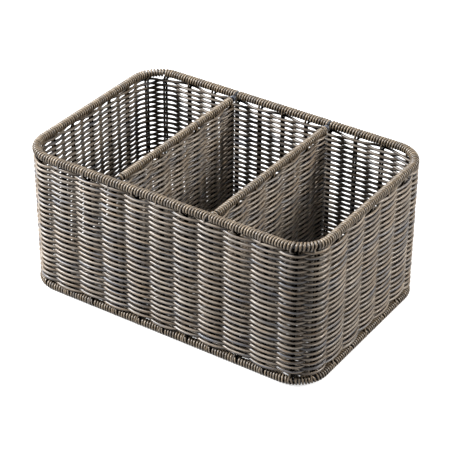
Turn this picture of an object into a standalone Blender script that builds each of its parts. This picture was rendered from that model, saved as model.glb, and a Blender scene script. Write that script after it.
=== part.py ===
"""Woven cutlery basket with three compartments, for a table or a bar.

Wrapped rings run round the top and the base, pairs of canes stand between them as stakes, and
cane is woven round the stakes. Two woven dividers hang between the long walls.
Metres, +Z up, +X along the long side, origin under the middle of the base.
"""
import math

import bmesh
import bpy
from mathutils import Matrix, Vector

# Overall size
LENGTH = 0.300
WIDTH = 0.197
HEIGHT = 0.140
CORNER_RADIUS = 0.031

# Cane and wire
CANE = 0.0022
ROW_GAP = 0.0003
RING_ROD = 0.0036
BAR_ROD = 0.0028

# Dividers and ties
DIVIDER_SPACING = 0.099
DIVIDER_END_GAP = 0.0040
BAR_END_GAP = 0.0015
BAR_DROP = 0.0010
TIE_LENGTH = 0.0030

# Fits
CLEARANCE = 0.0003
SLOT_SKIN = 0.0006
FOOT_FLAT = 0.0005
OVERRUN = 0.0020

# Counts and shares
GAPS_BETWEEN_DIVIDERS = 4
GAPS_BEYOND_DIVIDER = 3
GAPS_ALONG_SHORT_WALL = 6
CORNER_STAKE_SHARES = (0.25, 0.67)
DIVIDER_STAKES = 7
FLUTE_STEPS = 4
CORNER_STEPS = 8
STAKE_END_STEPS = 2
TUBE_RESOLUTION = 4
ROD_RESOLUTION = 2
ROD_SIDES = 12

# Rings
RIM_RADIUS = RING_ROD / 2 + CANE
BAR_RADIUS = BAR_ROD / 2 + CANE
PATH_HALF_LENGTH = LENGTH / 2 - RIM_RADIUS
PATH_HALF_WIDTH = WIDTH / 2 - RIM_RADIUS
PATH_RADIUS = CORNER_RADIUS - RIM_RADIUS
TOP_RING_Z = HEIGHT - RIM_RADIUS
BASE_RING_Z = RIM_RADIUS - FOOT_FLAT

# Centre line of the walls, measured from the middle of the front wall towards +X
STRAIGHT_X = PATH_HALF_LENGTH - PATH_RADIUS
STRAIGHT_Y = PATH_HALF_WIDTH - PATH_RADIUS
CORNER_ARC = PATH_RADIUS * math.pi / 2
QUARTER = STRAIGHT_X + CORNER_ARC + STRAIGHT_Y
DIVIDER_X = DIVIDER_SPACING / 2

# Stakes and woven walls
STAKE_WIDTH = 2 * CANE
STAKE_THICKNESS = CANE
WALL_THIN = CANE / 2
WALL_PEAK = STAKE_THICKNESS / 2 + CANE
WALL_VALLEY = STAKE_THICKNESS / 2 + CLEARANCE + SLOT_SKIN
ROW_PITCH = CANE + ROW_GAP
WALL_BOTTOM = BASE_RING_Z + RIM_RADIUS + CLEARANCE
WALL_TOP = TOP_RING_Z - RIM_RADIUS - CLEARANCE

# Woven base
BASE_THICKNESS = STAKE_THICKNESS + 2 * CANE
FLOOR_Z = BASE_RING_Z + RIM_RADIUS
BASE_MIDDLE_Z = FLOOR_Z - BASE_THICKNESS / 2
BASE_INSET = RIM_RADIUS + CLEARANCE

# Divider
BAR_Z = TOP_RING_Z - BAR_DROP
BAR_REACH = PATH_HALF_WIDTH - RIM_RADIUS - CLEARANCE
BAR_WRAP_REACH = PATH_HALF_WIDTH - RIM_RADIUS - BAR_END_GAP
SILL_ROD_Z = FLOOR_Z + CLEARANCE + BAR_ROD / 2
PANEL_BOTTOM = SILL_ROD_Z + BAR_ROD / 2 + CLEARANCE
PANEL_TOP = BAR_Z - BAR_RADIUS - CLEARANCE
PANEL_REACH = PATH_HALF_WIDTH - WALL_PEAK - DIVIDER_END_GAP
END_STAKE_Y = PANEL_REACH - CANE - STAKE_WIDTH / 2

CANE_COLOUR = (0.36, 0.30, 0.24, 1.0)
CANE_DARK_COLOUR = (0.17, 0.14, 0.12, 1.0)
WIRE_COLOUR = (0.05, 0.05, 0.05, 1.0)


def clear_scene():
    """Remove whatever the file starts with."""
    for obj in list(bpy.data.objects):
        bpy.data.objects.remove(obj, do_unlink=True)


def make_collection(name):
    """A collection linked to the scene."""
    collection = bpy.data.collections.new(name)
    bpy.context.scene.collection.children.link(collection)
    return collection


def make_material(name, colour, roughness, metallic):
    """A plain Principled material."""
    material = bpy.data.materials.new(name)
    material.use_nodes = True
    shader = material.node_tree.nodes["Principled BSDF"]
    shader.inputs["Base Color"].default_value = colour
    shader.inputs["Roughness"].default_value = roughness
    shader.inputs["Metallic"].default_value = metallic
    material.diffuse_color = colour
    return material


def weave_cane_material():
    """Round plastic cane of the woven walls, dividers and base."""
    return make_material("weave_cane", CANE_COLOUR, 0.45, 0.0)


def wrap_cane_material():
    """The same cane wound round the rings and bars."""
    return make_material("wrap_cane", CANE_COLOUR, 0.42, 0.0)


def stake_cane_material():
    """Upright canes, darker because the weave shades them."""
    return make_material("stake_cane", CANE_DARK_COLOUR, 0.5, 0.0)


def tie_cane_material():
    """Ties at the ends of the divider bars."""
    return make_material("tie_cane", CANE_DARK_COLOUR, 0.45, 0.0)


def wire_material():
    """Coated steel wire of the frame."""
    return make_material("frame_wire", WIRE_COLOUR, 0.4, 0.6)


def place(obj, collection, material):
    """Link an object and give it its material."""
    collection.objects.link(obj)
    obj.data.materials.clear()
    obj.data.materials.append(material)
    return obj


def mark_cutter(obj, collection):
    """Keep a cutting shape out of the model."""
    collection.objects.link(obj)
    obj.hide_render = True
    obj.display_type = "WIRE"
    return obj


def path_point(distance):
    """Point and outward direction on the walls' centre line."""
    turn = distance % (4 * QUARTER)
    flip_x, flip_y = 1, 1
    if turn > 3 * QUARTER:
        turn, flip_x = 4 * QUARTER - turn, -1
    elif turn > 2 * QUARTER:
        turn, flip_x, flip_y = turn - 2 * QUARTER, -1, -1
    elif turn > QUARTER:
        turn, flip_y = 2 * QUARTER - turn, -1
    if turn <= STRAIGHT_X:
        x, y, out_x, out_y = turn, -PATH_HALF_WIDTH, 0.0, -1.0
    elif turn <= STRAIGHT_X + CORNER_ARC:
        angle = (turn - STRAIGHT_X) / PATH_RADIUS
        out_x, out_y = math.sin(angle), -math.cos(angle)
        x = STRAIGHT_X + PATH_RADIUS * out_x
        y = -STRAIGHT_Y + PATH_RADIUS * out_y
    else:
        x, y = PATH_HALF_LENGTH, turn - STRAIGHT_X - CORNER_ARC - STRAIGHT_Y
        out_x, out_y = 1.0, 0.0
    return Vector((flip_x * x, flip_y * y, 0)), Vector((flip_x * out_x, flip_y * out_y, 0))


def spread(start, end, gaps):
    """Evenly spaced distances from start up to, but without, end."""
    return [start + (end - start) * step / gaps for step in range(gaps)]


def stake_distances():
    """Distances of all the wall's stakes along its centre line."""
    first_corner = STRAIGHT_X + CORNER_STAKE_SHARES[0] * CORNER_ARC
    second_corner = STRAIGHT_X + CORNER_STAKE_SHARES[1] * CORNER_ARC
    quarter = spread(0, DIVIDER_X, GAPS_BETWEEN_DIVIDERS // 2)
    quarter += spread(DIVIDER_X, first_corner, GAPS_BEYOND_DIVIDER)
    quarter += [first_corner]
    quarter += spread(second_corner, QUARTER, GAPS_ALONG_SHORT_WALL // 2)
    mirrored = [2 * QUARTER - distance for distance in reversed(quarter[1:])]
    half = quarter + [QUARTER] + mirrored
    return half + [distance + 2 * QUARTER for distance in half]


def row_heights(bottom, top):
    """Heights of the woven rows' centres between two heights."""
    rows = max(2, round((top - bottom) / ROW_PITCH))
    pitch = (top - bottom) / rows
    return [bottom + pitch * (row + 0.5) for row in range(rows)]


def stake_column(point, outward, bottom, top, passing):
    """Weave surface up a stake: proud on the rows that pass it on this side, back between."""
    rows = row_heights(bottom, top)
    reaches = [WALL_PEAK if row % 2 == passing else WALL_VALLEY for row in range(len(rows))]
    heights = [bottom] + rows + [top]
    return [point + outward * reach + Vector((0, 0, height))
            for reach, height in zip([WALL_VALLEY] + reaches + [WALL_VALLEY], heights)]


def between_column(point, outward, bottom, top, passing):
    """Weave surface midway between two stakes, with a point at every other row."""
    heights = [bottom] + row_heights(bottom, top)[passing::2] + [top]
    return [point + outward * WALL_THIN + Vector((0, 0, height)) for height in heights]


def join_columns(body, left, right):
    """Triangles between two upright rows of vertices that rise from bottom to top."""
    here, there = 0, 0
    while here + 1 < len(left) or there + 1 < len(right):
        at_top = there + 1 == len(right)
        step_left = at_top or (here + 1 < len(left)
                               and left[here + 1].co.z <= right[there + 1].co.z + CLEARANCE / 10)
        corner = left[here + 1] if step_left else right[there + 1]
        body.faces.new((left[here], right[there], corner))
        here, there = (here + 1, there) if step_left else (here, there + 1)


def woven_surface(body, columns):
    """A closed band of woven surface; gives its bottom and its top vertices."""
    verts = [[body.verts.new(point) for point in column] for column in columns]
    for left, right in zip(verts, verts[1:] + verts[:1]):
        join_columns(body, left, right)
    return [column[0] for column in verts], [column[-1] for column in verts]


def woven_solid(name, body, slots, bottom, top, cutters):
    """A mesh object of a woven body, cut with a slot for each stake."""
    bmesh.ops.recalc_face_normals(body, faces=body.faces)
    mesh = bpy.data.meshes.new(name)
    body.to_mesh(mesh)
    body.free()
    solid = bpy.data.objects.new(name, mesh)
    cutter = flat_solid(name + "_slots", slots, bottom - OVERRUN, top + OVERRUN)
    boolean(solid, mark_cutter(to_mesh(cutter, cutters), cutters), "DIFFERENCE")
    return solid


def stadium(width, thickness):
    """Round-ended outline with its width along X."""
    radius = thickness / 2
    half_flat = width / 2 - radius
    points = []
    for side in (1, -1):
        for step in range(STAKE_END_STEPS + 1):
            angle = side * math.pi / 2 - math.pi * step / STAKE_END_STEPS
            x = side * half_flat + radius * math.cos(angle)
            points.append(Vector((x, radius * math.sin(angle), 0)))
    return points


def bore_outline(centre, outward):
    """Outline of the slot that a stake stands in, across the wall."""
    along = Vector((-outward.y, outward.x, 0))
    slot = stadium(STAKE_WIDTH + 2 * CLEARANCE, STAKE_THICKNESS + 2 * CLEARANCE)
    return [centre + along * point.x + outward * point.y for point in slot]


def flat_curve(name, outlines, height):
    """A 2D curve filled between its outlines and extruded to a height."""
    curve = bpy.data.curves.new(name, "CURVE")
    curve.dimensions = "2D"
    curve.fill_mode = "BOTH"
    curve.extrude = height / 2
    for outline in outlines:
        spline = curve.splines.new("POLY")
        spline.points.add(len(outline) - 1)
        for spline_point, point in zip(spline.points, outline):
            spline_point.co = (point.x, point.y, 0, 1)
        spline.use_cyclic_u = True
    return bpy.data.objects.new(name, curve)


def flat_solid(name, outlines, bottom, top):
    """An upright solid of the outlines, from its bottom to its top."""
    obj = flat_curve(name, outlines, top - bottom)
    obj.location.z = (bottom + top) / 2
    return obj


def tube(name, points, radius, resolution, cyclic=False):
    """A round tube along points."""
    curve = bpy.data.curves.new(name, "CURVE")
    curve.dimensions = "3D"
    curve.bevel_depth = radius
    curve.bevel_resolution = resolution
    curve.use_fill_caps = not cyclic
    spline = curve.splines.new("POLY")
    spline.points.add(len(points) - 1)
    for spline_point, point in zip(spline.points, points):
        spline_point.co = (point.x, point.y, point.z, 1)
    spline.use_cyclic_u = cyclic
    return bpy.data.objects.new(name, curve)


def to_mesh(obj, collection):
    """Turn a curve into a closed mesh, with its caps welded on."""
    collection.objects.link(obj)
    bpy.context.view_layer.update()
    depsgraph = bpy.context.evaluated_depsgraph_get()
    mesh = bpy.data.meshes.new_from_object(obj.evaluated_get(depsgraph))
    body = bmesh.new()
    body.from_mesh(mesh)
    bmesh.ops.remove_doubles(body, verts=body.verts, dist=CLEARANCE / 100)
    bmesh.ops.recalc_face_normals(body, faces=body.faces)
    body.to_mesh(mesh)
    body.free()
    name = obj.name
    matrix = obj.matrix_world.copy()
    curve = obj.data
    bpy.data.objects.remove(obj, do_unlink=True)
    bpy.data.curves.remove(curve)
    solid = bpy.data.objects.new(name, mesh)
    solid.matrix_world = matrix
    return solid


def cylinder(name, radius, length, centre, axis):
    """A round bar along X or Y."""
    mesh = bpy.data.meshes.new(name)
    body = bmesh.new()
    bmesh.ops.create_cone(body, cap_ends=True, segments=ROD_SIDES, radius1=radius,
                          radius2=radius, depth=length)
    turn = Matrix.Rotation(math.pi / 2, 4, "Y" if axis == "X" else "X")
    bmesh.ops.transform(body, matrix=Matrix.Translation(centre) @ turn, verts=body.verts)
    body.to_mesh(mesh)
    body.free()
    return bpy.data.objects.new(name, mesh)


def box(name, size, centre):
    """A plain block."""
    mesh = bpy.data.meshes.new(name)
    body = bmesh.new()
    bmesh.ops.create_cube(body, size=1)
    bmesh.ops.scale(body, vec=size, verts=body.verts)
    bmesh.ops.translate(body, vec=centre, verts=body.verts)
    body.to_mesh(mesh)
    body.free()
    return bpy.data.objects.new(name, mesh)


def boolean(target, tool, operation):
    """Cut a tool from a mesh, or join it on."""
    modifier = target.modifiers.new(tool.name, "BOOLEAN")
    modifier.operation = operation
    modifier.solver = "EXACT"
    modifier.object = tool


def smooth(obj):
    """Shade round pieces smooth, with their real edges kept."""
    obj.data.shade_smooth()
    obj.data.set_sharp_from_angle(angle=math.radians(40))


def corner_distances():
    """Distances along the centre line that step round its four corners."""
    distances = []
    for quarter in range(4):
        corner = quarter * QUARTER + (STRAIGHT_Y if quarter % 2 else STRAIGHT_X)
        distances += [corner + CORNER_ARC * step / CORNER_STEPS
                      for step in range(CORNER_STEPS + 1)]
    return distances


def ring_points(start, end, height):
    """Points along the wall's centre line at one height."""
    corners = corner_distances()
    turns = corners + [corner + 4 * QUARTER for corner in corners]
    between = [turn for turn in turns if start + OVERRUN < turn < end - OVERRUN]
    return [path_point(distance)[0] + Vector((0, 0, height))
            for distance in [start] + between + [end]]


def ring_rod(name, height):
    """Closed wire ring inside a wrapped rim."""
    points = ring_points(0, 4 * QUARTER, height)
    return tube(name, points[:-1], RING_ROD / 2, ROD_RESOLUTION, cyclic=True)


def wrapped_rim(name, start, end, height, parts, cutters, foot=None):
    """Open-ended tube of wound cane round a stretch of a ring."""
    rim = tube(name, ring_points(start, end, height), RIM_RADIUS, TUBE_RESOLUTION)
    rim = to_mesh(rim, parts)
    bore_points = ring_points(start, end, height)
    first = (bore_points[0] - bore_points[1]).normalized()
    last = (bore_points[-1] - bore_points[-2]).normalized()
    bore_points[0] = bore_points[0] + first * OVERRUN
    bore_points[-1] = bore_points[-1] + last * OVERRUN
    bore = tube(name + "_bore", bore_points, RING_ROD / 2 + CLEARANCE, ROD_RESOLUTION)
    bore = mark_cutter(to_mesh(bore, cutters), cutters)
    boolean(rim, bore, "DIFFERENCE")
    if foot is not None:
        boolean(rim, foot, "DIFFERENCE")
    return rim


def top_rim_wraps(parts, cutters):
    """The four stretches of wound cane between the divider ties."""
    half_tie = TIE_LENGTH / 2 + CLEARANCE
    back = 2 * QUARTER
    stretches = {
        "rim_wrap_front": (-DIVIDER_X + half_tie, DIVIDER_X - half_tie),
        "rim_wrap_right": (DIVIDER_X + half_tie, back - DIVIDER_X - half_tie),
        "rim_wrap_back": (back - DIVIDER_X + half_tie, back + DIVIDER_X - half_tie),
        "rim_wrap_left": (back + DIVIDER_X + half_tie, 2 * back - DIVIDER_X - half_tie),
    }
    return [wrapped_rim(name, start % (4 * QUARTER), start % (4 * QUARTER) + end - start,
                        TOP_RING_Z, parts, cutters)
            for name, (start, end) in stretches.items()]


def base_rim_wraps(parts, cutters):
    """The two halves of the wound base ring, flat underneath."""
    depth = RIM_RADIUS
    foot = box("foot_cut", (LENGTH + OVERRUN, WIDTH + OVERRUN, depth), (0, 0, -depth / 2))
    mark_cutter(foot, cutters)
    half_gap = CLEARANCE / 2
    right = wrapped_rim("base_wrap_right", half_gap, 2 * QUARTER - half_gap, BASE_RING_Z,
                        parts, cutters, foot)
    left = wrapped_rim("base_wrap_left", 2 * QUARTER + half_gap, 4 * QUARTER - half_gap,
                       BASE_RING_Z, parts, cutters, foot)
    return [right, left]


def rim_tie(name, x, y, cutters):
    """Short sleeve of cane that ties a divider bar to the top ring."""
    sleeve = cylinder(name, RIM_RADIUS, TIE_LENGTH, (x, y, TOP_RING_Z), "X")
    bore = cylinder(name + "_bore", RING_ROD / 2 + CLEARANCE, TIE_LENGTH + OVERRUN,
                    (x, y, TOP_RING_Z), "X")
    boolean(sleeve, mark_cutter(bore, cutters), "DIFFERENCE")
    return sleeve


def wall_columns(side):
    """Upright rows of points of the wall's surface, outside for side 1, inside for side -1."""
    stakes = stake_distances()
    columns = []
    for number, (start, end) in enumerate(zip(stakes, stakes[1:] + [4 * QUARTER])):
        passing = number % 2 if side > 0 else (number + 1) % 2
        point, outward = path_point(start)
        columns.append(stake_column(point, outward * side, WALL_BOTTOM, WALL_TOP, passing))
        point, outward = path_point((start + end) / 2)
        columns.append(between_column(point, outward * side, WALL_BOTTOM, WALL_TOP, passing))
    return columns


def wall_weave(cutters):
    """Woven wall all round, over one stake and under the next, with a slot for each stake."""
    body = bmesh.new()
    outer_edges = woven_surface(body, wall_columns(1))
    inner_edges = woven_surface(body, wall_columns(-1))
    for outer, inner in zip(outer_edges, inner_edges):
        for number in range(len(outer)):
            after = (number + 1) % len(outer)
            body.faces.new((outer[number], outer[after], inner[after], inner[number]))
    slots = [bore_outline(*path_point(distance)) for distance in stake_distances()]
    return woven_solid("wall_weave", body, slots, WALL_BOTTOM, WALL_TOP, cutters)


def wall_stakes():
    """Pairs of upright canes in the wall."""
    shape = flat_curve("wall_stake", [stadium(STAKE_WIDTH, STAKE_THICKNESS)],
                       WALL_TOP - WALL_BOTTOM)
    stakes = []
    for number, distance in enumerate(stake_distances(), start=1):
        centre, outward = path_point(distance)
        stake = bpy.data.objects.new(f"wall_stake_{number:02d}", shape.data)
        stake.location = centre + Vector((0, 0, (WALL_BOTTOM + WALL_TOP) / 2))
        stake.rotation_euler.z = math.atan2(outward.x, -outward.y)
        stakes.append(stake)
    bpy.data.objects.remove(shape, do_unlink=True)
    return stakes


def base_outline():
    """Outline of the base inside the base ring."""
    points = []
    for distance in corner_distances():
        point, outward = path_point(distance)
        points.append(point - outward * BASE_INSET)
    return points


def base_stake_places():
    """Places along X of the wall's stakes that run on across the base."""
    last = STRAIGHT_X + CORNER_ARC / 2
    quarter = [distance for distance in stake_distances() if distance < last]
    places = [path_point(distance)[0].x for distance in quarter]
    return [-x for x in reversed(places[1:])] + places


def base_flutes():
    """Section of the base along X, thick over its stakes and thin between them."""
    places = base_stake_places()
    ends = PATH_HALF_LENGTH
    marks = [(-ends, WALL_THIN)]
    for start, end in zip(places, places[1:]):
        for step in range(FLUTE_STEPS):
            share = step / FLUTE_STEPS
            swell = (WALL_PEAK - WALL_THIN) * math.cos(math.pi * share) ** 2
            marks.append((start + (end - start) * share, WALL_THIN + swell))
    marks += [(places[-1], WALL_PEAK), (ends, WALL_THIN)]
    upper = [Vector((x, thickness, 0)) for x, thickness in marks]
    lower = [Vector((x, -thickness, 0)) for x, thickness in reversed(marks)]
    return upper + lower


def base_weave(cutters):
    """Woven floor inside the base ring, swelling over the stakes that cross it."""
    plate = flat_solid("base_weave", [base_outline()], BASE_MIDDLE_Z - BASE_THICKNESS,
                       BASE_MIDDLE_Z + BASE_THICKNESS)
    flutes = flat_solid("base_flutes", [base_flutes()], -WIDTH / 2, WIDTH / 2)
    flutes.rotation_euler.x = math.pi / 2
    flutes.location.z = BASE_MIDDLE_Z
    plate = to_mesh(plate, cutters)
    boolean(plate, mark_cutter(to_mesh(flutes, cutters), cutters), "INTERSECT")
    return plate


def divider_stake_places():
    """Places of a divider's stakes along its length."""
    last = DIVIDER_STAKES - 1
    return [END_STAKE_Y * (2 * number / last - 1) for number in range(DIVIDER_STAKES)]


def panel_columns():
    """Upright rows of points round a divider's panel, rounded at its ends."""
    places = divider_stake_places()
    columns = []
    for side in (1, -1):
        outward = Vector((side, 0, 0))
        for number in range(DIVIDER_STAKES) if side > 0 else reversed(range(DIVIDER_STAKES)):
            passing = number % 2 if side > 0 else (number + 1) % 2
            point = Vector((0, places[number], 0))
            columns.append(stake_column(point, outward, PANEL_BOTTOM, PANEL_TOP, passing))
        for turn in (side, -side):
            point = Vector((turn * STAKE_THICKNESS / 2, side * END_STAKE_Y, 0))
            reach = PANEL_REACH - END_STAKE_Y - WALL_THIN
            columns.append(between_column(point + Vector((0, side * reach, 0)),
                                          Vector((0, side, 0)), PANEL_BOTTOM, PANEL_TOP,
                                          passing))
    return columns


def divider_weave(name, x, cutters):
    """Woven panel of a divider, with a slot for each of its stakes."""
    body = bmesh.new()
    for edge in woven_surface(body, panel_columns()):
        body.faces.new(edge)
    slots = [bore_outline(Vector((0, y, 0)), Vector((1, 0, 0))) for y in divider_stake_places()]
    panel = woven_solid(name, body, slots, PANEL_BOTTOM, PANEL_TOP, cutters)
    panel.location.x = x
    panel.modifiers[0].object.location.x = x
    return panel


def divider_frame(name, x, parts, cutters):
    """Bar, sill and stakes of a divider, joined as one wire frame."""
    frame = cylinder(name, BAR_ROD / 2, 2 * BAR_REACH, (x, 0, BAR_Z), "Y")
    sill_length = 2 * END_STAKE_Y + STAKE_WIDTH + 2 * CLEARANCE
    sill = cylinder(name + "_sill", BAR_ROD / 2, sill_length, (x, 0, SILL_ROD_Z), "Y")
    pieces = [mark_cutter(sill, cutters)]
    section = [Vector((point.y, point.x, 0)) for point in stadium(STAKE_WIDTH, STAKE_THICKNESS)]
    for number, y in enumerate(divider_stake_places(), start=1):
        stake = flat_solid(f"{name}_stake_{number}", [section], SILL_ROD_Z, BAR_Z)
        stake.location.x = x
        stake.location.y = y
        pieces.append(mark_cutter(to_mesh(stake, cutters), cutters))
    for piece in pieces:
        boolean(frame, piece, "UNION")
    return frame


def bar_wrap(name, x, cutters):
    """Wound cane round a divider's bar, open below for its stakes."""
    wrap = cylinder(name, BAR_RADIUS, 2 * BAR_WRAP_REACH, (x, 0, BAR_Z), "Y")
    bore = cylinder(name + "_bore", BAR_ROD / 2 + CLEARANCE, 2 * (BAR_WRAP_REACH + OVERRUN),
                    (x, 0, BAR_Z), "Y")
    boolean(wrap, mark_cutter(bore, cutters), "DIFFERENCE")
    depth = BAR_RADIUS + OVERRUN
    size = (STAKE_THICKNESS + 2 * CLEARANCE, STAKE_WIDTH + 2 * CLEARANCE, depth)
    for number, y in enumerate(divider_stake_places(), start=1):
        slot = box(f"{name}_slot_{number}", size, (x, y, BAR_Z - depth / 2))
        boolean(wrap, mark_cutter(slot, cutters), "DIFFERENCE")
    return wrap


def build_basket():
    """Make every piece of the basket."""
    clear_scene()
    parts = make_collection("cutlery_basket")
    cutters = make_collection("cutters")
    weave = weave_cane_material()
    wrap = wrap_cane_material()
    stake = stake_cane_material()
    tie = tie_cane_material()
    wire = wire_material()

    for name, height in (("top_ring_rod", TOP_RING_Z), ("base_ring_rod", BASE_RING_Z)):
        place(ring_rod(name, height), parts, wire)
    for rim in top_rim_wraps(parts, cutters) + base_rim_wraps(parts, cutters):
        smooth(place(rim, parts, wrap))
    place(wall_weave(cutters), parts, weave)
    for piece in wall_stakes():
        place(piece, parts, stake)
    place(base_weave(cutters), parts, weave)
    for side, x in (("left", -DIVIDER_X), ("right", DIVIDER_X)):
        for end, y in (("front", -PATH_HALF_WIDTH), ("back", PATH_HALF_WIDTH)):
            smooth(place(rim_tie(f"bar_tie_{side}_{end}", x, y, cutters), parts, tie))
        smooth(place(divider_frame(f"divider_frame_{side}", x, parts, cutters), parts, wire))
        smooth(place(bar_wrap(f"divider_bar_wrap_{side}", x, cutters), parts, wrap))
        place(divider_weave(f"divider_weave_{side}", x, cutters), parts, weave)


build_basket()
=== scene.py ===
"""Woven cutlery basket with three compartments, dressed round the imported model.

Every cane is a strand of its own shape: rows woven over one stake and under the next, stakes
folded round the rings, cane wound round the rings and the divider bars, two woven dividers and
a woven base. Metres, +Z up, +X along the long side.
"""
import math

import bpy
import numpy as np
from mathutils import Matrix, Vector


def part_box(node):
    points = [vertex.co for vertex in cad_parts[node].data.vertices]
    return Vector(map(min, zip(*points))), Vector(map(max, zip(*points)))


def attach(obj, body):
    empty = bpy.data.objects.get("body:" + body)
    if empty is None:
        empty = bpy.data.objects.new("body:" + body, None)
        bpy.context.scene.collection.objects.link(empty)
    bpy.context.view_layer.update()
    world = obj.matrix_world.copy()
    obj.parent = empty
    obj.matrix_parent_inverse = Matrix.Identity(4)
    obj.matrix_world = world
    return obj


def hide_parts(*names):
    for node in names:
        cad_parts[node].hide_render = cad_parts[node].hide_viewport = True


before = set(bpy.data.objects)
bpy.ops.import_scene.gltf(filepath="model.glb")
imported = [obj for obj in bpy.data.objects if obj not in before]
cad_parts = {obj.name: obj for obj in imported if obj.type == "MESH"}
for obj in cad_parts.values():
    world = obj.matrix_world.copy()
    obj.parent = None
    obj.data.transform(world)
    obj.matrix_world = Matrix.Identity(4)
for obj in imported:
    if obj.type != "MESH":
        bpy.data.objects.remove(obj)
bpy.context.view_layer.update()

# The basket's sizes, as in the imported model
LENGTH = 0.300
WIDTH = 0.197
HEIGHT = 0.140
CORNER_RADIUS = 0.031
CANE = 0.0022
RING_ROD = 0.0036
BAR_ROD = 0.0028
DIVIDER_SPACING = 0.099
DIVIDER_STAKES = 7
DIVIDER_END_GAP = 0.0040
CORNER_STAKE_SHARES = (0.25, 0.67)
FOOT_FLAT = 0.0005
CLEARANCE = 0.0003

STRAND = CANE / 2
RIM_RADIUS = RING_ROD / 2 + CANE
RIM_TURN = RING_ROD / 2 + STRAND
BAR_TURN = BAR_ROD / 2 + STRAND
PATH_HALF_LENGTH = LENGTH / 2 - RIM_RADIUS
PATH_HALF_WIDTH = WIDTH / 2 - RIM_RADIUS
PATH_RADIUS = CORNER_RADIUS - RIM_RADIUS
TOP_RING_Z = HEIGHT - RIM_RADIUS
BASE_RING_Z = RIM_RADIUS - FOOT_FLAT
STRAIGHT_X = PATH_HALF_LENGTH - PATH_RADIUS
STRAIGHT_Y = PATH_HALF_WIDTH - PATH_RADIUS
CORNER_ARC = PATH_RADIUS * math.pi / 2
QUARTER = STRAIGHT_X + CORNER_ARC + STRAIGHT_Y
DIVIDER_X = DIVIDER_SPACING / 2
FLOOR_Z = BASE_RING_Z + RIM_RADIUS
BASE_MIDDLE_Z = FLOOR_Z - 3 * STRAND
PANEL_REACH = PATH_HALF_WIDTH - 3 * STRAND - DIVIDER_END_GAP
END_STAKE_Y = PANEL_REACH - 2 * CANE
BAR_LOW, BAR_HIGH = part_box("divider_bar_wrap_left")
BAR_Z = (BAR_LOW[2] + BAR_HIGH[2]) / 2
SILL_Z = FLOOR_Z + CLEARANCE + BAR_ROD / 2
LOWEST = 0.00001

# Woven rows, of cane a little thicker than the wound one
ROW_PITCH = 0.002516
ROW_RADIUS = 0.00127
ROW_STEPS = 12
ROW_SIDES = 10
WALL_ROWS = 49
WALL_BANDS = (("wall_weave_lower", 0, 17), ("wall_weave_middle", 17, 33),
              ("wall_weave_upper", 33, WALL_ROWS))
SWING = 0.00250
SWING_RANGE = (0.93, 1.08)
FLATNESS = 1.05
# The top row's place below the top ring's centre, and its rise towards +X and +Y
TOP_ROW_DROP = 0.0061
TOP_ROW_TILT = (-0.0002, -0.0008)
# The bottom row's rise all round, towards +X and towards +Y
LOW_ROW_LIFT = (0.0006, 0.0012, -0.0002)
PANEL_ROW_DROP = 0.0051
PANEL_FLOOR_GAP = 0.0004
WALL_ROW_SPREAD = 0.00009
PANEL_ROW_SPREAD = 0.00012
# Waves in the rows' heights: their number round the wall and their size
SHARED_WAVES = ((3, 0.00012), (7, 0.0001), (13, 0.00005))
ROW_WAVES = ((2, 0.00005), (9, 0.00005))
# Painted shade: the light left on the rows' sides that face into the basket
INNER_PAINTED_LIGHT = 0.50
BASE_STAKE_STEPS = 40
BASE_ROW_STEPS = 150
BASE_CORNER_SHARE = 0.5
BASE_END_SHARE = 0.6

# Stakes: two legs beside each other in the weave, folded over the top and under the base rod
LEG_SPREAD = 0.00120
LEG_RADIUS = 0.00112
LEG_POINTS = 16
LEG_WANDER = 0.00008
# Painted shade on the legs inside the weave: the light they keep on their outward side
LEG_PAINTED_LIGHT = 0.22
FOLD_POINTS = 9
FOLD_ANGLES = np.radians(np.linspace(-28, 208, FOLD_POINTS))
FOLD_SHIFT = -0.0019
FOLD_LEAN = 0.0015
FOLD_LEAN_OUT = 0.00075
JOINT_LEAN = 0.0018
TOP_LEAN_SHARE = 0.32
BACK_FOLD_SHIFT = -0.0010
# Under the base ring: shifts of the outward and the inward leg, and where the change ends
BASE_FOLD_SHIFTS = (-0.0021, -0.0005)
BASE_LEAN_SHARE = 0.45
# Where the legs part from their fold, and the point outside between them
JOIN_DROP = 0.0074
HANG = 0.0042
HANG_TURN = 0.85
HANG_SHIFT = 0.0002
HANG_UP = -0.2
# Distances from the rings' centres over which the legs go into the weave
LOW_FADE = (0.0045, 0.008)
TOP_FADE = (0.008, 0.0052)

# Wound cane. Gaps beside a fold are in turns, and notches keep a turn away from its fold
WRAP_PITCH = 0.00272
TURN_STEPS = 18
TURN_SIDES = 8
TURN_WOBBLE = 0.00006
TURN_SWELL = 0.012
GAP_BEFORE = 0.98
TOP_GAP_AFTER = 1.02
CORNER_GAP_AFTER = 1.2
BACK_GAP_AFTER = 1.65
BASE_GAP_AFTER = 1.0
BAR_GAP_AFTER = 1.05
JOINT_NOTCH = 0.0013
BASE_NOTCH = -0.0012
# Angles at which a turn steps past its fold, and where a notch starts, is full and ends
JUMP = (math.radians(205), math.radians(335))
TOP_NOTCH = (-165, -120, -105, -50)
UNDER_NOTCH = (-215, -165, -140, -40)
# Each bar's first and last folds, the gaps beside them in turns, and its loose turn's place
BAR_ENDS = {"left": (-0.0846, 0.0819, 1.6, 0.98, None),
            "right": (-0.0846, 0.0841, 1.05, 1.75, -0.0898)}
# How far the loose turn stands off its bar, and the slant of turns that lie alone
LOOSE = 0.0004
SLANT = 0.0006
ROD_SIDES = 12
ROD_STEPS = 24

# Ties: first and last angle round the top ring and shift of the middle, for each end of a bar
TIE_RADIUS = 0.0008
TIE_STEPS = 24
FRONT_TIE = (-150, 60, -0.0009)
BACK_TIE = (-80, 280, 0.0011)
BACK_LASHINGS = (0.0862, 0.0878)

# Bake stripes: length of a step along a strand, margin between stripes, edge and cap row
STEP_LENGTH = 0.0012
STRIPE_MARGIN = 0.08
EDGE = 0.002
CAP_ROW = 0.96

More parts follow.
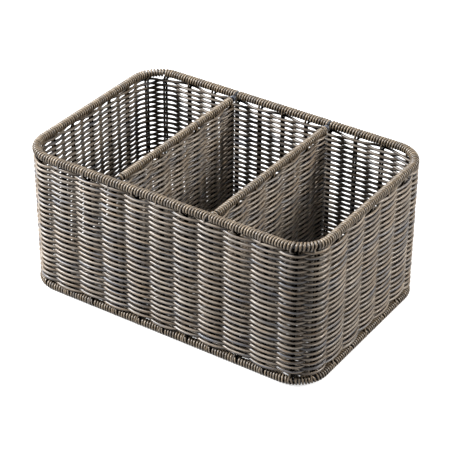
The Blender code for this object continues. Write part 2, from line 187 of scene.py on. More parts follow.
# Stage: lamps are name, place, size, power and colour
FLOOR_HALF_SIZE = 1.4
FLOOR_GREY = 0.42
FLOOR_GLOW = 0.74
ROOM_LIGHT = (0.040, 0.040, 0.042, 1)
WHITE = (1, 1, 1, 1)
LAMPS = (("key", (-1.27, -0.60, 1.10), 0.33, 88.0, (0.955, 0.985, 1.04)),
         ("top", (-0.60, 0.20, 1.90), 0.45, 22.0, (1.0, 0.98, 0.93)),
         ("back", (1.18, 0.74, 0.85), 0.35, 29.0, (1.0, 0.98, 0.95)),
         ("fill", (1.3, -0.9, 1.1), 1.0, 2.0, (1.0, 1.0, 1.0)))
LAMP_TARGET = Vector((0, 0, 0.07))
YAW, PITCH, ROLL = 0.5865, 0.5655, 0.0062
EYE_RIGHT, EYE_Z, EYE_BACK = 0.00144, 0.06063, 1.50588
LENS = 135.09
SENSOR = 36

RANDOM = np.random.default_rng(20)


# Places -------------------------------------------------------------------------------------

def path(distance):
    """Points and outward directions of the walls' centre line, from the front's middle to +X."""
    turn = np.mod(distance, 4 * QUARTER)
    flip_x = np.where(turn > 2 * QUARTER, -1.0, 1.0)
    turn = np.where(turn > 2 * QUARTER, 4 * QUARTER - turn, turn)
    flip_y = np.where(turn > QUARTER, -1.0, 1.0)
    turn = np.where(turn > QUARTER, 2 * QUARTER - turn, turn)
    angle = np.clip((turn - STRAIGHT_X) / PATH_RADIUS, 0, math.pi / 2)
    out_x, out_y = np.sin(angle), -np.cos(angle)
    x = np.minimum(turn, STRAIGHT_X) + PATH_RADIUS * out_x
    y = np.maximum(turn - STRAIGHT_X - CORNER_ARC, 0) - STRAIGHT_Y + PATH_RADIUS * out_y
    flat = np.zeros_like(turn)
    return (np.stack([x * flip_x, y * flip_y, flat], -1),
            np.stack([out_x * flip_x, out_y * flip_y, flat], -1))


def bar_line(x):
    """The same for a divider's line, which runs along +Y with its outward side at +X."""
    def line(distance):
        distance = np.asarray(distance, float)
        flat, ones = np.zeros_like(distance), np.ones_like(distance)
        return np.stack([ones * x, distance, flat], -1), np.stack([ones, flat, flat], -1)
    return line


def spread(start, end, gaps):
    """Evenly spaced values from start up to, but without, end."""
    return [start + (end - start) * step / gaps for step in range(gaps)]


def stake_distances():
    """Distances of the wall's stakes along its centre line."""
    first_corner = STRAIGHT_X + CORNER_STAKE_SHARES[0] * CORNER_ARC
    second_corner = STRAIGHT_X + CORNER_STAKE_SHARES[1] * CORNER_ARC
    quarter = spread(0, DIVIDER_X, 2) + spread(DIVIDER_X, first_corner, 3)
    quarter += [first_corner] + spread(second_corner, QUARTER, 3)
    mirrored = [2 * QUARTER - distance for distance in reversed(quarter[1:])]
    half = quarter + [QUARTER] + mirrored
    return np.array(half + [distance + 2 * QUARTER for distance in half])


def smoothstep(low, high, value):
    """0 below low, 1 above high and smooth between them."""
    share = np.clip((value - low) / (high - low), 0, 1)
    return share * share * (3 - 2 * share)


def unit(vectors):
    """Vectors at length 1."""
    return vectors / np.linalg.norm(vectors, axis=-1, keepdims=True)


STAKES = stake_distances()
STAKE_X, STAKE_Y = path(STAKES)[0][:, 0], path(STAKES)[0][:, 1]
JOINTS = np.isclose(np.abs(STAKE_X), DIVIDER_X)
BACK_JOINT = JOINTS & (STAKE_Y > STRAIGHT_Y)
WIDE_JOINT = JOINTS & (STAKE_Y < -STRAIGHT_Y) & (STAKE_X > 0)
ROUND_CORNER = (np.abs(STAKE_X) > STRAIGHT_X) & (np.abs(STAKE_Y) > STRAIGHT_Y)
TOP_FOLDS = STAKES + FOLD_SHIFT + BACK_FOLD_SHIFT * BACK_JOINT
DIVIDER_PLACES = np.linspace(-END_STAKE_Y, END_STAKE_Y, DIVIDER_STAKES)
UP = np.array([0.0, 0.0, 1.0])
ALONG_Y = np.array([0.0, 1.0, 0.0])


# Strands ------------------------------------------------------------------------------------

class Bundle:
    """Strands that make one piece."""

    def __init__(self, sides):
        self.sides = sides
        self.strands = []

    def add(self, centres, normals, radius=STRAND, closed=False, tone=None, painted_shade=None):
        """One strand along centres; normals say which way its side 0 faces. The last argument
        paints shade: it gives each vertex a lightness from its radial direction, from 0 in painted
        shade in a recess to 1 with none."""
        tone = RANDOM.random() if tone is None else tone
        self.strands.append((np.asarray(centres, float), np.asarray(normals, float),
                             radius, closed, tone, painted_shade or no_painted_shade))

    def arrays(self):
        """Vertices, faces, the faces' coordinates on the cane, vertex labels and end caps."""
        sides = self.sides
        angles = np.arange(sides) * 2 * math.pi / sides
        ring = np.stack([np.cos(angles), np.sin(angles)], -1)
        vertices, quads, quad_cane, caps = [], [], [], []
        labels = {"tone": [], "open": [], "up": []}
        first = 0
        for centres, normals, radius, closed, tone, painted_shade in self.strands:
            count = len(centres)
            if closed:
                before, after = np.roll(centres, 1, 0), np.roll(centres, -1, 0)
            else:
                before = np.vstack([centres[:1], centres[:-1]])
                after = np.vstack([centres[1:], centres[-1:]])
            tangents = unit(after - before)
            across = unit(normals - (normals * tangents).sum(-1, keepdims=True) * tangents)
            other = np.cross(tangents, across)
            radial = ring[None, :, :1] * across[:, None] + ring[None, :, 1:] * other[:, None]
            thick = np.broadcast_to(radius, count)[:, None, None]
            vertices.append((centres[:, None] + thick * radial).reshape(-1, 3))
            # the open attribute holds each vertex's painted shade
            labels["open"].append(np.broadcast_to(painted_shade(radial, ring), (count, sides)).ravel())
            labels["tone"].append(np.full(count * sides, tone))
            labels["up"].append(np.repeat(normals[:, 2], sides))

            segments = count if closed else count - 1
            here = np.arange(segments)[:, None]
            there = (here + 1) % count
            side = np.arange(sides)[None, :]
            next_side = (side + 1) % sides
            quads.append(first + np.stack([here * sides + side, here * sides + next_side,
                                           there * sides + next_side, there * sides + side],
                                          -1).reshape(-1, 4))
            quad_cane.append(cane_places(centres, after, segments, ring))
            if not closed:
                caps.append((first + np.arange(sides)[::-1], ring[::-1]))
                caps.append((first + (count - 1) * sides + np.arange(sides), ring))
            first += count * sides
        labels = {label: np.concatenate(values) for label, values in labels.items()}
        return np.vstack(vertices), np.vstack(quads), np.vstack(quad_cane), labels, caps


def cane_places(centres, after, segments, ring):
    """Each face corner's place on its cane: two numbers round it and one along it."""
    shape = (segments, len(ring))
    along = np.concatenate([[0.0], np.cumsum(np.linalg.norm(after - centres, axis=-1))])
    here = np.broadcast_to(along[:-1][:segments, None], shape)
    there = np.broadcast_to(along[1:][:segments, None], shape)
    cosine, sine = np.broadcast_to(ring[:, 0], shape), np.broadcast_to(ring[:, 1], shape)
    next_cosine, next_sine = np.roll(cosine, -1, 1), np.roll(sine, -1, 1)
    return np.stack([
        np.stack([cosine, sine, here], -1), np.stack([next_cosine, next_sine, here], -1),
        np.stack([next_cosine, next_sine, there], -1), np.stack([cosine, sine, there], -1)],
        -2).reshape(-1, 4, 3)


def no_painted_shade(radial, ring):
    """For a strand with no painted shade: full lightness all round."""
    return np.ones(radial.shape[:2])


def painted_recess_shade(radial, ring):
    """Painted shade for a strand that lies between its neighbours: dark all round."""
    return np.full(radial.shape[:2], 0.1)


def painted_shade_from_wall(outward, offset, radius, inner=1.0):
    """Painted shade for a woven row: dark where it faces the weave's inside, light where it faces
    away, with painted shade on its lower half; inner is how much light the painted shade leaves on
    the side away from outward."""
    def painted_shading(radial, ring):
        facing = (radial * outward[:, None]).sum(-1)
        # painted shade on the lower half, on the side away from outward, and where the row dips
        # into the weave
        shade = 1 - 0.75 * smoothstep(-0.25, 0.75, -radial[..., 2])
        shade = shade * (1 - (1 - inner) * smoothstep(-0.2, 0.5, -facing))
        return shade * smoothstep(-0.0010, 0.0013, offset[:, None] * facing + radius * facing ** 2)
    return painted_shading


def painted_turn_shade(radial, ring):
    """Painted shade for wound cane: light on top of each turn and dark in the grooves between
    them.
    """
    return np.broadcast_to(smoothstep(-0.25, 0.75, ring[:, 0]), radial.shape[:2])


def stripes(quads, sides, cap_count):
    """Bake coordinates: the strands cut into stripes that lie one above the other."""
    segments = quads // sides
    ring_length = 2 * math.pi * STRAND
    rows = max(1, round(math.sqrt(segments * STEP_LENGTH / ring_length)))
    per_row = math.ceil(segments / rows)
    rows = math.ceil(segments / per_row)
    top = CAP_ROW if cap_count else 1.0
    segment = np.arange(segments)
    row, column = segment // per_row, segment % per_row
    side = np.arange(sides)
    low = EDGE + (1 - 2 * EDGE) * column / per_row
    high = EDGE + (1 - 2 * EDGE) * (column + 1) / per_row
    inside = 1 - 2 * STRIPE_MARGIN
    v_low = (row[:, None] + STRIPE_MARGIN + inside * side / sides) / rows * top
    v_high = (row[:, None] + STRIPE_MARGIN + inside * (side + 1) / sides) / rows * top
    low = np.broadcast_to(low[:, None], v_low.shape)
    high = np.broadcast_to(high[:, None], v_low.shape)
    return np.stack([np.stack([low, v_low], -1), np.stack([low, v_high], -1),
                     np.stack([high, v_high], -1), np.stack([high, v_low], -1)], -2)


def build(name, bundle, material, nodes, flat_foot=False):
    """Make a bundle into one piece that stands for CAD nodes."""
    vertices, quads, cane, labels, caps = bundle.arrays()
    if flat_foot:
        vertices[:, 2] = np.maximum(vertices[:, 2], LOWEST)
    sides = bundle.sides
    mesh = bpy.data.meshes.new(name)
    mesh.vertices.add(len(vertices))
    mesh.vertices.foreach_set("co", vertices.astype(np.float32).ravel())
    corners = [quads.ravel()] + [cap for cap, _ in caps]
    corners = np.concatenate(corners).astype(np.int32)
    starts = np.concatenate([np.arange(len(quads)) * 4,
                             len(quads) * 4 + np.arange(len(caps)) * sides]).astype(np.int32)
    mesh.loops.add(len(corners))
    mesh.loops.foreach_set("vertex_index", corners)
    mesh.polygons.add(len(starts))
    mesh.polygons.foreach_set("loop_start", starts)
    smooth = np.ones(len(starts), bool)
    smooth[len(quads):] = False
    mesh.polygons.foreach_set("use_smooth", smooth)
    mesh.update(calc_edges=True)

    places = stripes(len(quads), sides, len(caps)).reshape(-1, 2)
    cane_corners = cane.reshape(-1, 3)
    for number, (_, ring) in enumerate(caps):
        size = min(0.012, 0.4 / len(caps))
        centre = np.array([(number + 0.5) / len(caps), (1 + CAP_ROW) / 2])
        places = np.vstack([places, centre + size * ring])
        cane_corners = np.vstack([cane_corners, np.column_stack([ring * 0.5, np.zeros(sides)])])
    layer = mesh.uv_layers.new(name="OFBake")
    layer.uv.foreach_set("vector", places.astype(np.float32).ravel())
    attribute = mesh.attributes.new("cane", "FLOAT_VECTOR", "CORNER")
    attribute.data.foreach_set("vector", cane_corners.astype(np.float32).ravel())
    for label, values in labels.items():
        attribute = mesh.attributes.new(label, "FLOAT", "POINT")
        attribute.data.foreach_set("value", values.astype(np.float32))
    mesh.validate()
    mesh.materials.append(material)
    piece = bpy.data.objects.new(name, mesh)
    bpy.context.scene.collection.objects.link(piece)
    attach(piece, "root")
    if nodes:
        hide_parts(*nodes)


# Woven rows ---------------------------------------------------------------------------------

def over_under(share):
    """1 at a stake and -1 at the next, with the top of each swing flattened."""
    return np.sin(FLATNESS * np.cos(math.pi * share)) / math.sin(FLATNESS)


def slow_wave(distance, waves):
    """A closed, seeded wave along a distance round the wall."""
    wave = np.zeros_like(distance)
    for count, size in waves:
        wave += size * np.sin(2 * math.pi * (count * distance / (4 * QUARTER) + RANDOM.random()))
    return wave


def wall_rows():
    """The walls' rows, bottom first."""
    count = len(STAKES)
    ends = np.append(STAKES[1:], 4 * QUARTER)
    share = np.arange(ROW_STEPS) / ROW_STEPS
    distance = (STAKES[:, None] + (ends - STAKES)[:, None] * share).ravel()
    around = np.tile(share, count)
    mix = smoothstep(0, 1, around)
    stake = np.repeat(np.arange(count), ROW_STEPS)
    following = (stake + 1) % count
    points, outward = path(distance)
    x_share, y_share = points[:, 0] / PATH_HALF_LENGTH, points[:, 1] / PATH_HALF_WIDTH
    common = slow_wave(distance, SHARED_WAVES)
    rows = []
    for row in range(WALL_ROWS):
        height = TOP_RING_Z - TOP_ROW_DROP - (WALL_ROWS - 1 - row) * ROW_PITCH
        upper = row / (WALL_ROWS - 1)
        tilt = upper * (x_share * TOP_ROW_TILT[0] + y_share * TOP_ROW_TILT[1])
        tilt += (1 - upper) * (LOW_ROW_LIFT[0] + x_share * LOW_ROW_LIFT[1]
                               + y_share * LOW_ROW_LIFT[2])
        side = np.where((stake + row) % 2 == 0, 1.0, -1.0)
        swing = SWING * RANDOM.uniform(*SWING_RANGE, count)
        lift = RANDOM.normal(0, WALL_ROW_SPREAD, count)
        swing = swing[stake] * (1 - mix) + swing[following] * mix
        lift = lift[stake] * (1 - mix) + lift[following] * mix
        lift = lift + slow_wave(distance, ROW_WAVES)
        fade = math.sin(math.pi * min(1, (row + 2) / (WALL_ROWS + 3)))
        offset = side * swing * over_under(around)
        height = height + tilt + lift + common * fade
        centres = points + outward * offset[:, None] + UP * height[:, None]
        rows.append((centres, outward,
                     painted_shade_from_wall(outward, offset, ROW_RADIUS, INNER_PAINTED_LIGHT)))
    return rows


def divider_rows(first_side):
    """One long strand, row after row from the top, turned round the end stakes."""
    top, low = BAR_Z - PANEL_ROW_DROP, SILL_Z + BAR_ROD / 2 + STRAND + PANEL_FLOOR_GAP
    rows = round((top - low) / ROW_PITCH) + 1
    rows -= rows % 2
    pitch = (top - low) / (rows - 1)
    share = np.arange(ROW_STEPS) / ROW_STEPS
    mix = smoothstep(0, 1, share)
    angle = math.pi * share
    reach = 2 * CANE - STRAND
    points, last_side = [], first_side
    for row in range(rows):
        places = DIVIDER_PLACES if row % 2 == 0 else DIVIDER_PLACES[::-1]
        swing = SWING * RANDOM.uniform(*SWING_RANGE, len(places))
        lift = RANDOM.normal(0, PANEL_ROW_SPREAD, len(places))
        height = top - row * pitch
        for number in range(len(places) - 1):
            side = last_side * (1 if number % 2 == 0 else -1)
            size = swing[number] * (1 - mix) + swing[number + 1] * mix
            x = side * size * over_under(share)
            y = places[number] + (places[number + 1] - places[number]) * share
            z = height + lift[number] * (1 - mix) + lift[number + 1] * mix
            points.append(np.column_stack([x, y, z]))
        end_side = last_side * (-1 if (len(places) - 1) % 2 else 1)
        x = end_side * SWING * np.cos(angle)
        y = places[-1] + math.copysign(1, places[-1]) * reach * np.sin(angle)
        last_height = height + lift[-1] * (1 - angle / math.pi)
        fall = pitch * angle / math.pi if row < rows - 1 else 0 * angle
        points.append(np.column_stack([x, y, last_height - fall]))
        last_side = -end_side
    return np.vstack(points)


# Folded stakes and wound cane ---------------------------------------------------------------

def rounded(points, steps):
    """A smooth closed line through points, with some steps between each two."""
    points = np.asarray(points, float)
    before, after = np.roll(points, 1, 0), np.roll(points, -1, 0)
    beyond = np.roll(points, -2, 0)
    share = (np.arange(steps) / steps)[:, None]
    lines = []
    for a, b, c, d in zip(before, points, after, beyond):
        lines.append(0.5 * (2 * b + (c - a) * share + (2 * a - 5 * b + 4 * c - d) * share ** 2
                            + (3 * b - a - 3 * c + d) * share ** 3))
    return np.vstack(lines)


def stake_loop(line, place, top_z, base_z, turn, shift, lean_more=0.0, base_shifts=None):
    """Closed loop of cane: up outside, over the top rod, down inside and under the base rod.
    Its points are place along the line, distance outward, height, and its outward and upward
    normal."""
    share = np.linspace(0, 1, FOLD_POINTS)
    base_lean = lean = FOLD_SHIFT + shift + FOLD_LEAN * (share - 0.5)
    top_lean = lean - lean_more * (1 - smoothstep(0, TOP_LEAN_SHARE, share))
    if base_shifts:
        base_lean = base_shifts[0] + ((base_shifts[1] - base_shifts[0])
                                      * smoothstep(0, BASE_LEAN_SHARE, share))
    heights = np.linspace(base_z + JOIN_DROP, top_z - JOIN_DROP, LEG_POINTS)
    wander = RANDOM.normal(0, LEG_WANDER, (2, len(heights)))
    outside = [(-LEG_SPREAD + w, 0.0, z, 1.0, 0.0) for z, w in zip(heights, wander[0])]
    outside += [(top_lean[0] + HANG_SHIFT, HANG_TURN * turn, top_z - HANG, 1.0, HANG_UP)]
    over = [(t, turn * math.cos(a), top_z + turn * math.sin(a), math.cos(a), math.sin(a))
            for t, a in zip(top_lean, FOLD_ANGLES)]
    inside = [(LEG_SPREAD + w, 0.0, z, -1.0, 0.0) for z, w in zip(heights[::-1], wander[1])]
    under = [(t, turn * math.cos(a), base_z - turn * math.sin(a), math.cos(a), -math.sin(a))
             for t, a in zip(base_lean[::-1], FOLD_ANGLES[::-1])]
    spots = rounded(outside + over + inside + under, 3)
    points, outward = line(place + spots[:, 0])
    centres = points + outward * spots[:, 1:2] + UP * spots[:, 2:3]
    normals = outward * spots[:, 3:4] + UP * spots[:, 4:5]
    height = spots[:, 2:3]
    in_wall = (smoothstep(base_z + LOW_FADE[0], base_z + LOW_FADE[1], height)
               * (1 - smoothstep(top_z - TOP_FADE[0], top_z - TOP_FADE[1], height)))

    # painted shade: the legs darkened nearly to black inside the weave, their outward side a
    # little lighter, over the turn shade
    def painted_shading(radial, ring):
        shade = 1 - in_wall * (1 - LEG_PAINTED_LIGHT * smoothstep(0, 1, ring[None, :, 0]))
        return shade * painted_turn_shade(radial, ring)
    thickness = STRAND + (LEG_RADIUS - STRAND) * in_wall[:, 0]
    return centres, normals, thickness, painted_shading


def turn_places(folds, closed_length, gap_before, gap_after, notches):
    """Places of the wound turns at the top of their rod, fold by fold, and how far each one
    keeps away from the fold before it where the stake is open."""
    places, away = [], []
    for number, fold in enumerate(folds):
        if number + 1 < len(folds):
            following = folds[number + 1]
        elif closed_length:
            following = folds[0] + closed_length
        else:
            break
        after, before = gap_after[number], gap_before[(number + 1) % len(folds)]
        turns = round((following - fold) / WRAP_PITCH - after - before) + 1
        step = (following - fold) / (turns - 1 + after + before)
        places += [fold + step * (after + turn) for turn in range(turns)]
        away += [notches[number]] + [0.0] * (turns - 1)
    return np.array(places), np.array(away)


def notch_share(turned, flip):
    """How much of its notch a turn keeps, by its angle from the turn's place."""
    start, full, less, end = TOP_NOTCH if flip > 0 else UNDER_NOTCH
    turned = np.degrees(turned)
    return smoothstep(start, full, turned) - smoothstep(less, end, turned)


def winding(line, places, away, radius, z, flip, closed_length=0.0):
    """Cane wound round a rod; it steps past each stake on the side where the stake is open."""
    following = (np.append(places[1:], places[0] + closed_length) if closed_length
                 else np.append(places[1:], 2 * places[-1] - places[-2]))
    angle = math.pi / 2 + 2 * math.pi * np.arange(TURN_STEPS) / TURN_STEPS
    pitch = WRAP_PITCH * (angle - math.pi / 2) / (2 * math.pi)
    jump = smoothstep(*JUMP, angle)
    extra = following - places - WRAP_PITCH
    outgoing = away[:, None] * notch_share(angle - math.pi / 2, flip)
    incoming = np.append(away[1:], away[0])[:, None] * notch_share(angle - 5 * math.pi / 2, flip)
    distance = (places[:, None] + RANDOM.normal(0, TURN_WOBBLE, len(places))[:, None]
                + pitch + extra[:, None] * jump + outgoing + incoming).ravel()
    angle = np.tile(angle, len(places))
    points, outward = line(distance)
    size = radius * (1 + TURN_SWELL * np.sin(angle * 1.7 + RANDOM.random() * 6))
    radial = outward * np.cos(angle)[:, None] + UP * (flip * np.sin(angle))[:, None]
    start = 0 if closed_length else TURN_STEPS // 2
    return (points + UP * z + radial * size[:, None])[start:], radial[start:]


def loose_turn(line, place, radius, z):
    """One ring of cane that stands a little off its rod and at a slant."""
    angle = 2 * math.pi * np.arange(TURN_STEPS) / TURN_STEPS
    points, outward = line(place + SLANT * np.sin(angle + 0.6))
    radial = outward * np.cos(angle)[:, None] + UP * np.sin(angle)[:, None]
    return points + UP * z + radial * radius, radial


# Materials ----------------------------------------------------------------------------------

def linear(colour):
    """An sRGB colour, 0 to 255, as the shader's linear values."""
    parts = [part / 255 for part in colour]
    return tuple(part / 12.92 if part <= 0.04045 else ((part + 0.055) / 1.055) ** 2.4
                 for part in parts) + (1.0,)


class Nodes:
    """Short calls for a material's node tree."""

    def __init__(self, material):
        material.use_nodes = True
        self.tree = material.node_tree
        self.shader = self.tree.nodes["Principled BSDF"]

    def node(self, kind, **values):
        """A node with its settings."""
        node = self.tree.nodes.new(kind)
        for name, value in values.items():
            setattr(node, name, value)
        return node

    def link(self, start, end):
        """Join two sockets."""
        self.tree.links.new(start, end)

    def attribute(self, name):
        """A mesh attribute."""
        return self.node("ShaderNodeAttribute", attribute_name=name)

    def math(self, operation, first, second):
        """A maths node on sockets or numbers."""
        node = self.node("ShaderNodeMath", operation=operation)
        for socket, value in zip(node.inputs, (first, second)):
            if isinstance(value, (int, float)):
                socket.default_value = value
            else:
                self.link(value, socket)
        return node.outputs[0]

    def scaled(self, vector, scale, offset):
        """A vector times three numbers, plus an offset socket."""
        node = self.node("ShaderNodeVectorMath", operation="MULTIPLY")
        self.link(vector, node.inputs[0])
        node.inputs[1].default_value = scale
        moved = self.node("ShaderNodeVectorMath", operation="ADD")
        self.link(node.outputs[0], moved.inputs[0])
        self.link(offset, moved.inputs[1])
        return moved.outputs[0]

    def noise(self, vector, scale, detail, roughness):
        """A noise texture's value."""
        node = self.node("ShaderNodeTexNoise")
        self.link(vector, node.inputs["Vector"])
        node.inputs["Scale"].default_value = scale
        node.inputs["Detail"].default_value = detail
        node.inputs["Roughness"].default_value = roughness
        return node.outputs["Fac"]

    def ranged(self, value, low, high, out_low=0.0, out_high=1.0):
        """A value moved from one range to another, kept inside it."""
        node = self.node("ShaderNodeMapRange")
        self.link(value, node.inputs["Value"])
        for name, number in (("From Min", low), ("From Max", high), ("To Min", out_low),
                             ("To Max", out_high)):
            node.inputs[name].default_value = number
        return node.outputs["Result"]

    def mix(self, share, first, second, blend="MIX"):
        """Two colours mixed; each is a socket or a colour."""
        node = self.node("ShaderNodeMix", data_type="RGBA", blend_type=blend)
        for socket, value in ((node.inputs["Factor"], share), (node.inputs[6], first),
                              (node.inputs[7], second)):
            if isinstance(value, (float, tuple)):
                socket.default_value = value
            else:
                self.link(value, socket)
        return node.outputs[2]

    def bump(self, height, strength, distance):
        """Give the shader a bump."""
        node = self.node("ShaderNodeBump")
        node.inputs["Strength"].default_value = strength
        node.inputs["Distance"].default_value = distance
        self.link(height, node.inputs["Height"])
        self.link(node.outputs["Normal"], self.shader.inputs["Normal"])


def cane_material(name, warm, pale, cool, dark, gloss, seed, groove_shade=None):
    """Round cane with fine lengthwise grain, and tones that drift along each strand. The open
    attribute paints shade into the colour and dims the gloss with it. For wound cane a painted
    groove shade darkens it towards its neighbours, from one height on its round to another, and
    less where the rod faces up, where light from above reaches."""
    material = bpy.data.materials.new(name)
    nodes = Nodes(material)
    cane = nodes.attribute("cane").outputs["Vector"]
    tone = nodes.attribute("tone").outputs["Fac"]
    shift = nodes.node("ShaderNodeCombineXYZ")
    nodes.link(nodes.math("MULTIPLY", tone, 31.7 + seed), shift.inputs[0])
    nodes.link(nodes.math("MULTIPLY", tone, 17.3), shift.inputs[1])

    def speckle(around, along, detail, roughness, scale=1.0):
        """Noise with a frequency round the cane and another one along it."""
        vector = nodes.scaled(cane, (around, around, along), shift.outputs[0])
        return nodes.noise(vector, scale, detail, roughness)
    grain = speckle(3.2, 70, 3.0, 0.6)
    fine = speckle(7.5, 160, 2.0, 0.5)
    drift = speckle(0.7, 22, 2.0, 0.5)
    cooler = speckle(0.4, 13, 1.0, 0.5, 1.7)
    pits = speckle(5.0, 1100, 2.0, 0.6)
    streak = speckle(1.25, 42, 2.0, 0.6)

    colour = nodes.mix(nodes.ranged(drift, 0.35, 0.65), warm, pale)
    for pattern, limits, shade in ((cooler, (0.54, 0.66, 0.0, 0.85), cool),
                                   (streak, (0.38, 0.54, 0.60, 0.0), dark),
                                   (grain, (0.34, 0.52, 0.62, 0.0), dark),
                                   (fine, (0.55, 0.72, 0.0, 0.55), pale),
                                   (pits, (0.66, 0.76, 0.0, 0.35), dark)):
        colour = nodes.mix(nodes.ranged(pattern, *limits), colour, shade)

    # painted shade: the open attribute sets how lit the cane is, from 0.16 to 1
    lit = nodes.ranged(nodes.attribute("open").outputs["Fac"], 0.0, 1.0, 0.16, 1.0)
    if groove_shade:
        low, high, darkest, on_top = groove_shade
        side = nodes.node("ShaderNodeSeparateXYZ")
        nodes.link(cane, side.inputs[0])
        depth = nodes.math("MULTIPLY", lit,
                           nodes.ranged(side.outputs[0], low, high, darkest, 1.0))
        # painted light: the groove shade is weaker where the rod faces up, as if lit from above
        sheltered = nodes.ranged(nodes.attribute("up").outputs["Fac"], 0.1, 0.9, 1.0, on_top)
        lit = nodes.math("SUBTRACT", 1.0, nodes.math("MULTIPLY", sheltered,
                                                     nodes.math("SUBTRACT", 1.0, depth)))
    each = nodes.math("MULTIPLY", nodes.ranged(tone, 0.0, 1.0, 0.82, 1.0), lit)
    strength = nodes.node("ShaderNodeCombineColor")
    for socket in strength.inputs:
        nodes.link(each, socket)
    colour = nodes.mix(1.0, colour, strength.outputs[0], "MULTIPLY")
    nodes.link(colour, nodes.shader.inputs["Base Color"])

    rough = nodes.math("ADD", nodes.ranged(grain, 0.3, 0.7, 0.44, 0.30),
                       nodes.ranged(pits, 0.6, 0.8, 0.0, 0.2))
    nodes.link(rough, nodes.shader.inputs["Roughness"])
    # painted shade dims the gloss in the recesses too
    nodes.link(nodes.math("MULTIPLY", lit, gloss), nodes.shader.inputs["Specular IOR Level"])
    nodes.bump(nodes.math("ADD", nodes.math("MULTIPLY", grain, 0.7),
                          nodes.math("MULTIPLY", fine, 0.3)), 0.5, 0.00012)
    return material


def wire_material(name):
    """Coated steel wire: dark, slightly uneven and worn."""
    material = bpy.data.materials.new(name)
    nodes = Nodes(material)
    place = nodes.node("ShaderNodeTexCoord").outputs["Object"]
    patches = nodes.noise(place, 220, 3.0, 0.55)
    peel = nodes.noise(place, 2600, 2.0, 0.5)
    colour = nodes.mix(nodes.ranged(patches, 0.35, 0.7), linear((26, 27, 31)),
                       linear((52, 54, 60)))
    colour = nodes.mix(nodes.ranged(peel, 0.66, 0.78, 0.0, 0.4), colour, linear((88, 86, 84)))
    nodes.link(colour, nodes.shader.inputs["Base Color"])
    nodes.link(nodes.ranged(patches, 0.3, 0.7, 0.26, 0.46), nodes.shader.inputs["Roughness"])
    nodes.bump(peel, 0.3, 0.00005)
    return material


DARK = linear((41, 35, 30))
WEAVE = cane_material("cane_woven", linear((127, 107, 84)), linear((165, 153, 138)),
                      linear((84, 89, 99)), DARK, 0.42, 0.0)
# WOUND's last four numbers set its painted groove shade
WOUND = cane_material("cane_wound", linear((116, 98, 75)), linear((146, 129, 107)),
                      linear((110, 102, 94)), DARK, 0.52, 3.1, (0.46, 0.93, 0.06, 0.50))
# Painted shade: a darkened copy of the cane, used for the base's stakes, which lie in shade
SHADED_UPRIGHT = cane_material("cane_upright_painted_shade", linear((66, 57, 47)), linear((82, 74, 66)),
                        linear((62, 63, 68)), linear((32, 29, 26)), 0.3, 6.3)
TIE = cane_material("cane_tie", linear((50, 51, 56)), linear((84, 87, 95)),
                    linear((66, 71, 82)), linear((30, 30, 34)), 0.4, 9.2)
WIRE = wire_material("coated_wire")


# The pieces ---------------------------------------------------------------------------------

def make_walls():
    """The woven walls in three bands, bottom to top."""
    rows = wall_rows()
    for name, first, end in WALL_BANDS:
        bundle = Bundle(ROW_SIDES)
        for centres, normals, painted_shade in rows[first:end]:
            bundle.add(centres, normals, ROW_RADIUS, closed=True, painted_shade=painted_shade)
        build(name, bundle, WEAVE, ["wall_weave"])


def make_stakes():
    """The walls' stakes: loops of cane that go round both rings."""
    bundle = Bundle(TURN_SIDES)
    for place, wide, shift in zip(STAKES, WIDE_JOINT, TOP_FOLDS - STAKES - FOLD_SHIFT):
        centres, normals, thickness, painted_shade = stake_loop(
            path, place, TOP_RING_Z, BASE_RING_Z, RIM_TURN, shift,
            JOINT_LEAN if wide else FOLD_LEAN_OUT, BASE_FOLD_SHIFTS)
        bundle.add(centres, normals, thickness, closed=True, painted_shade=painted_shade)
    nodes = [f"wall_stake_{number:02d}" for number in range(1, len(STAKES) + 1)]
    build("wall_stake_loops", bundle, WOUND, nodes, flat_foot=True)


def make_windings():
    """The cane wound round the two rings."""
    everywhere = np.ones(len(STAKES))
    top_gaps = np.where(BACK_JOINT, BACK_GAP_AFTER,
                        np.where(ROUND_CORNER, CORNER_GAP_AFTER, TOP_GAP_AFTER))
    for name, folds, after, notches, z, flip, nodes in (
            ("rim_wound_cane", TOP_FOLDS, top_gaps, np.where(WIDE_JOINT, JOINT_NOTCH, 0.0),
             TOP_RING_Z, 1, ["rim_wrap_front", "rim_wrap_right", "rim_wrap_back",
                             "rim_wrap_left"]),
            ("base_wound_cane", STAKES + BASE_FOLD_SHIFTS[1], everywhere * BASE_GAP_AFTER,
             everywhere * BASE_NOTCH, BASE_RING_Z, -1, ["base_wrap_right", "base_wrap_left"])):
        places, away = turn_places(folds, 4 * QUARTER, everywhere * GAP_BEFORE, after, notches)
        centres, normals = winding(path, places, away, RIM_TURN, z, flip, 4 * QUARTER)
        bundle = Bundle(TURN_SIDES)
        bundle.add(centres, normals, closed=True, painted_shade=painted_turn_shade)
        build(name, bundle, WOUND, nodes, flat_foot=flip < 0)


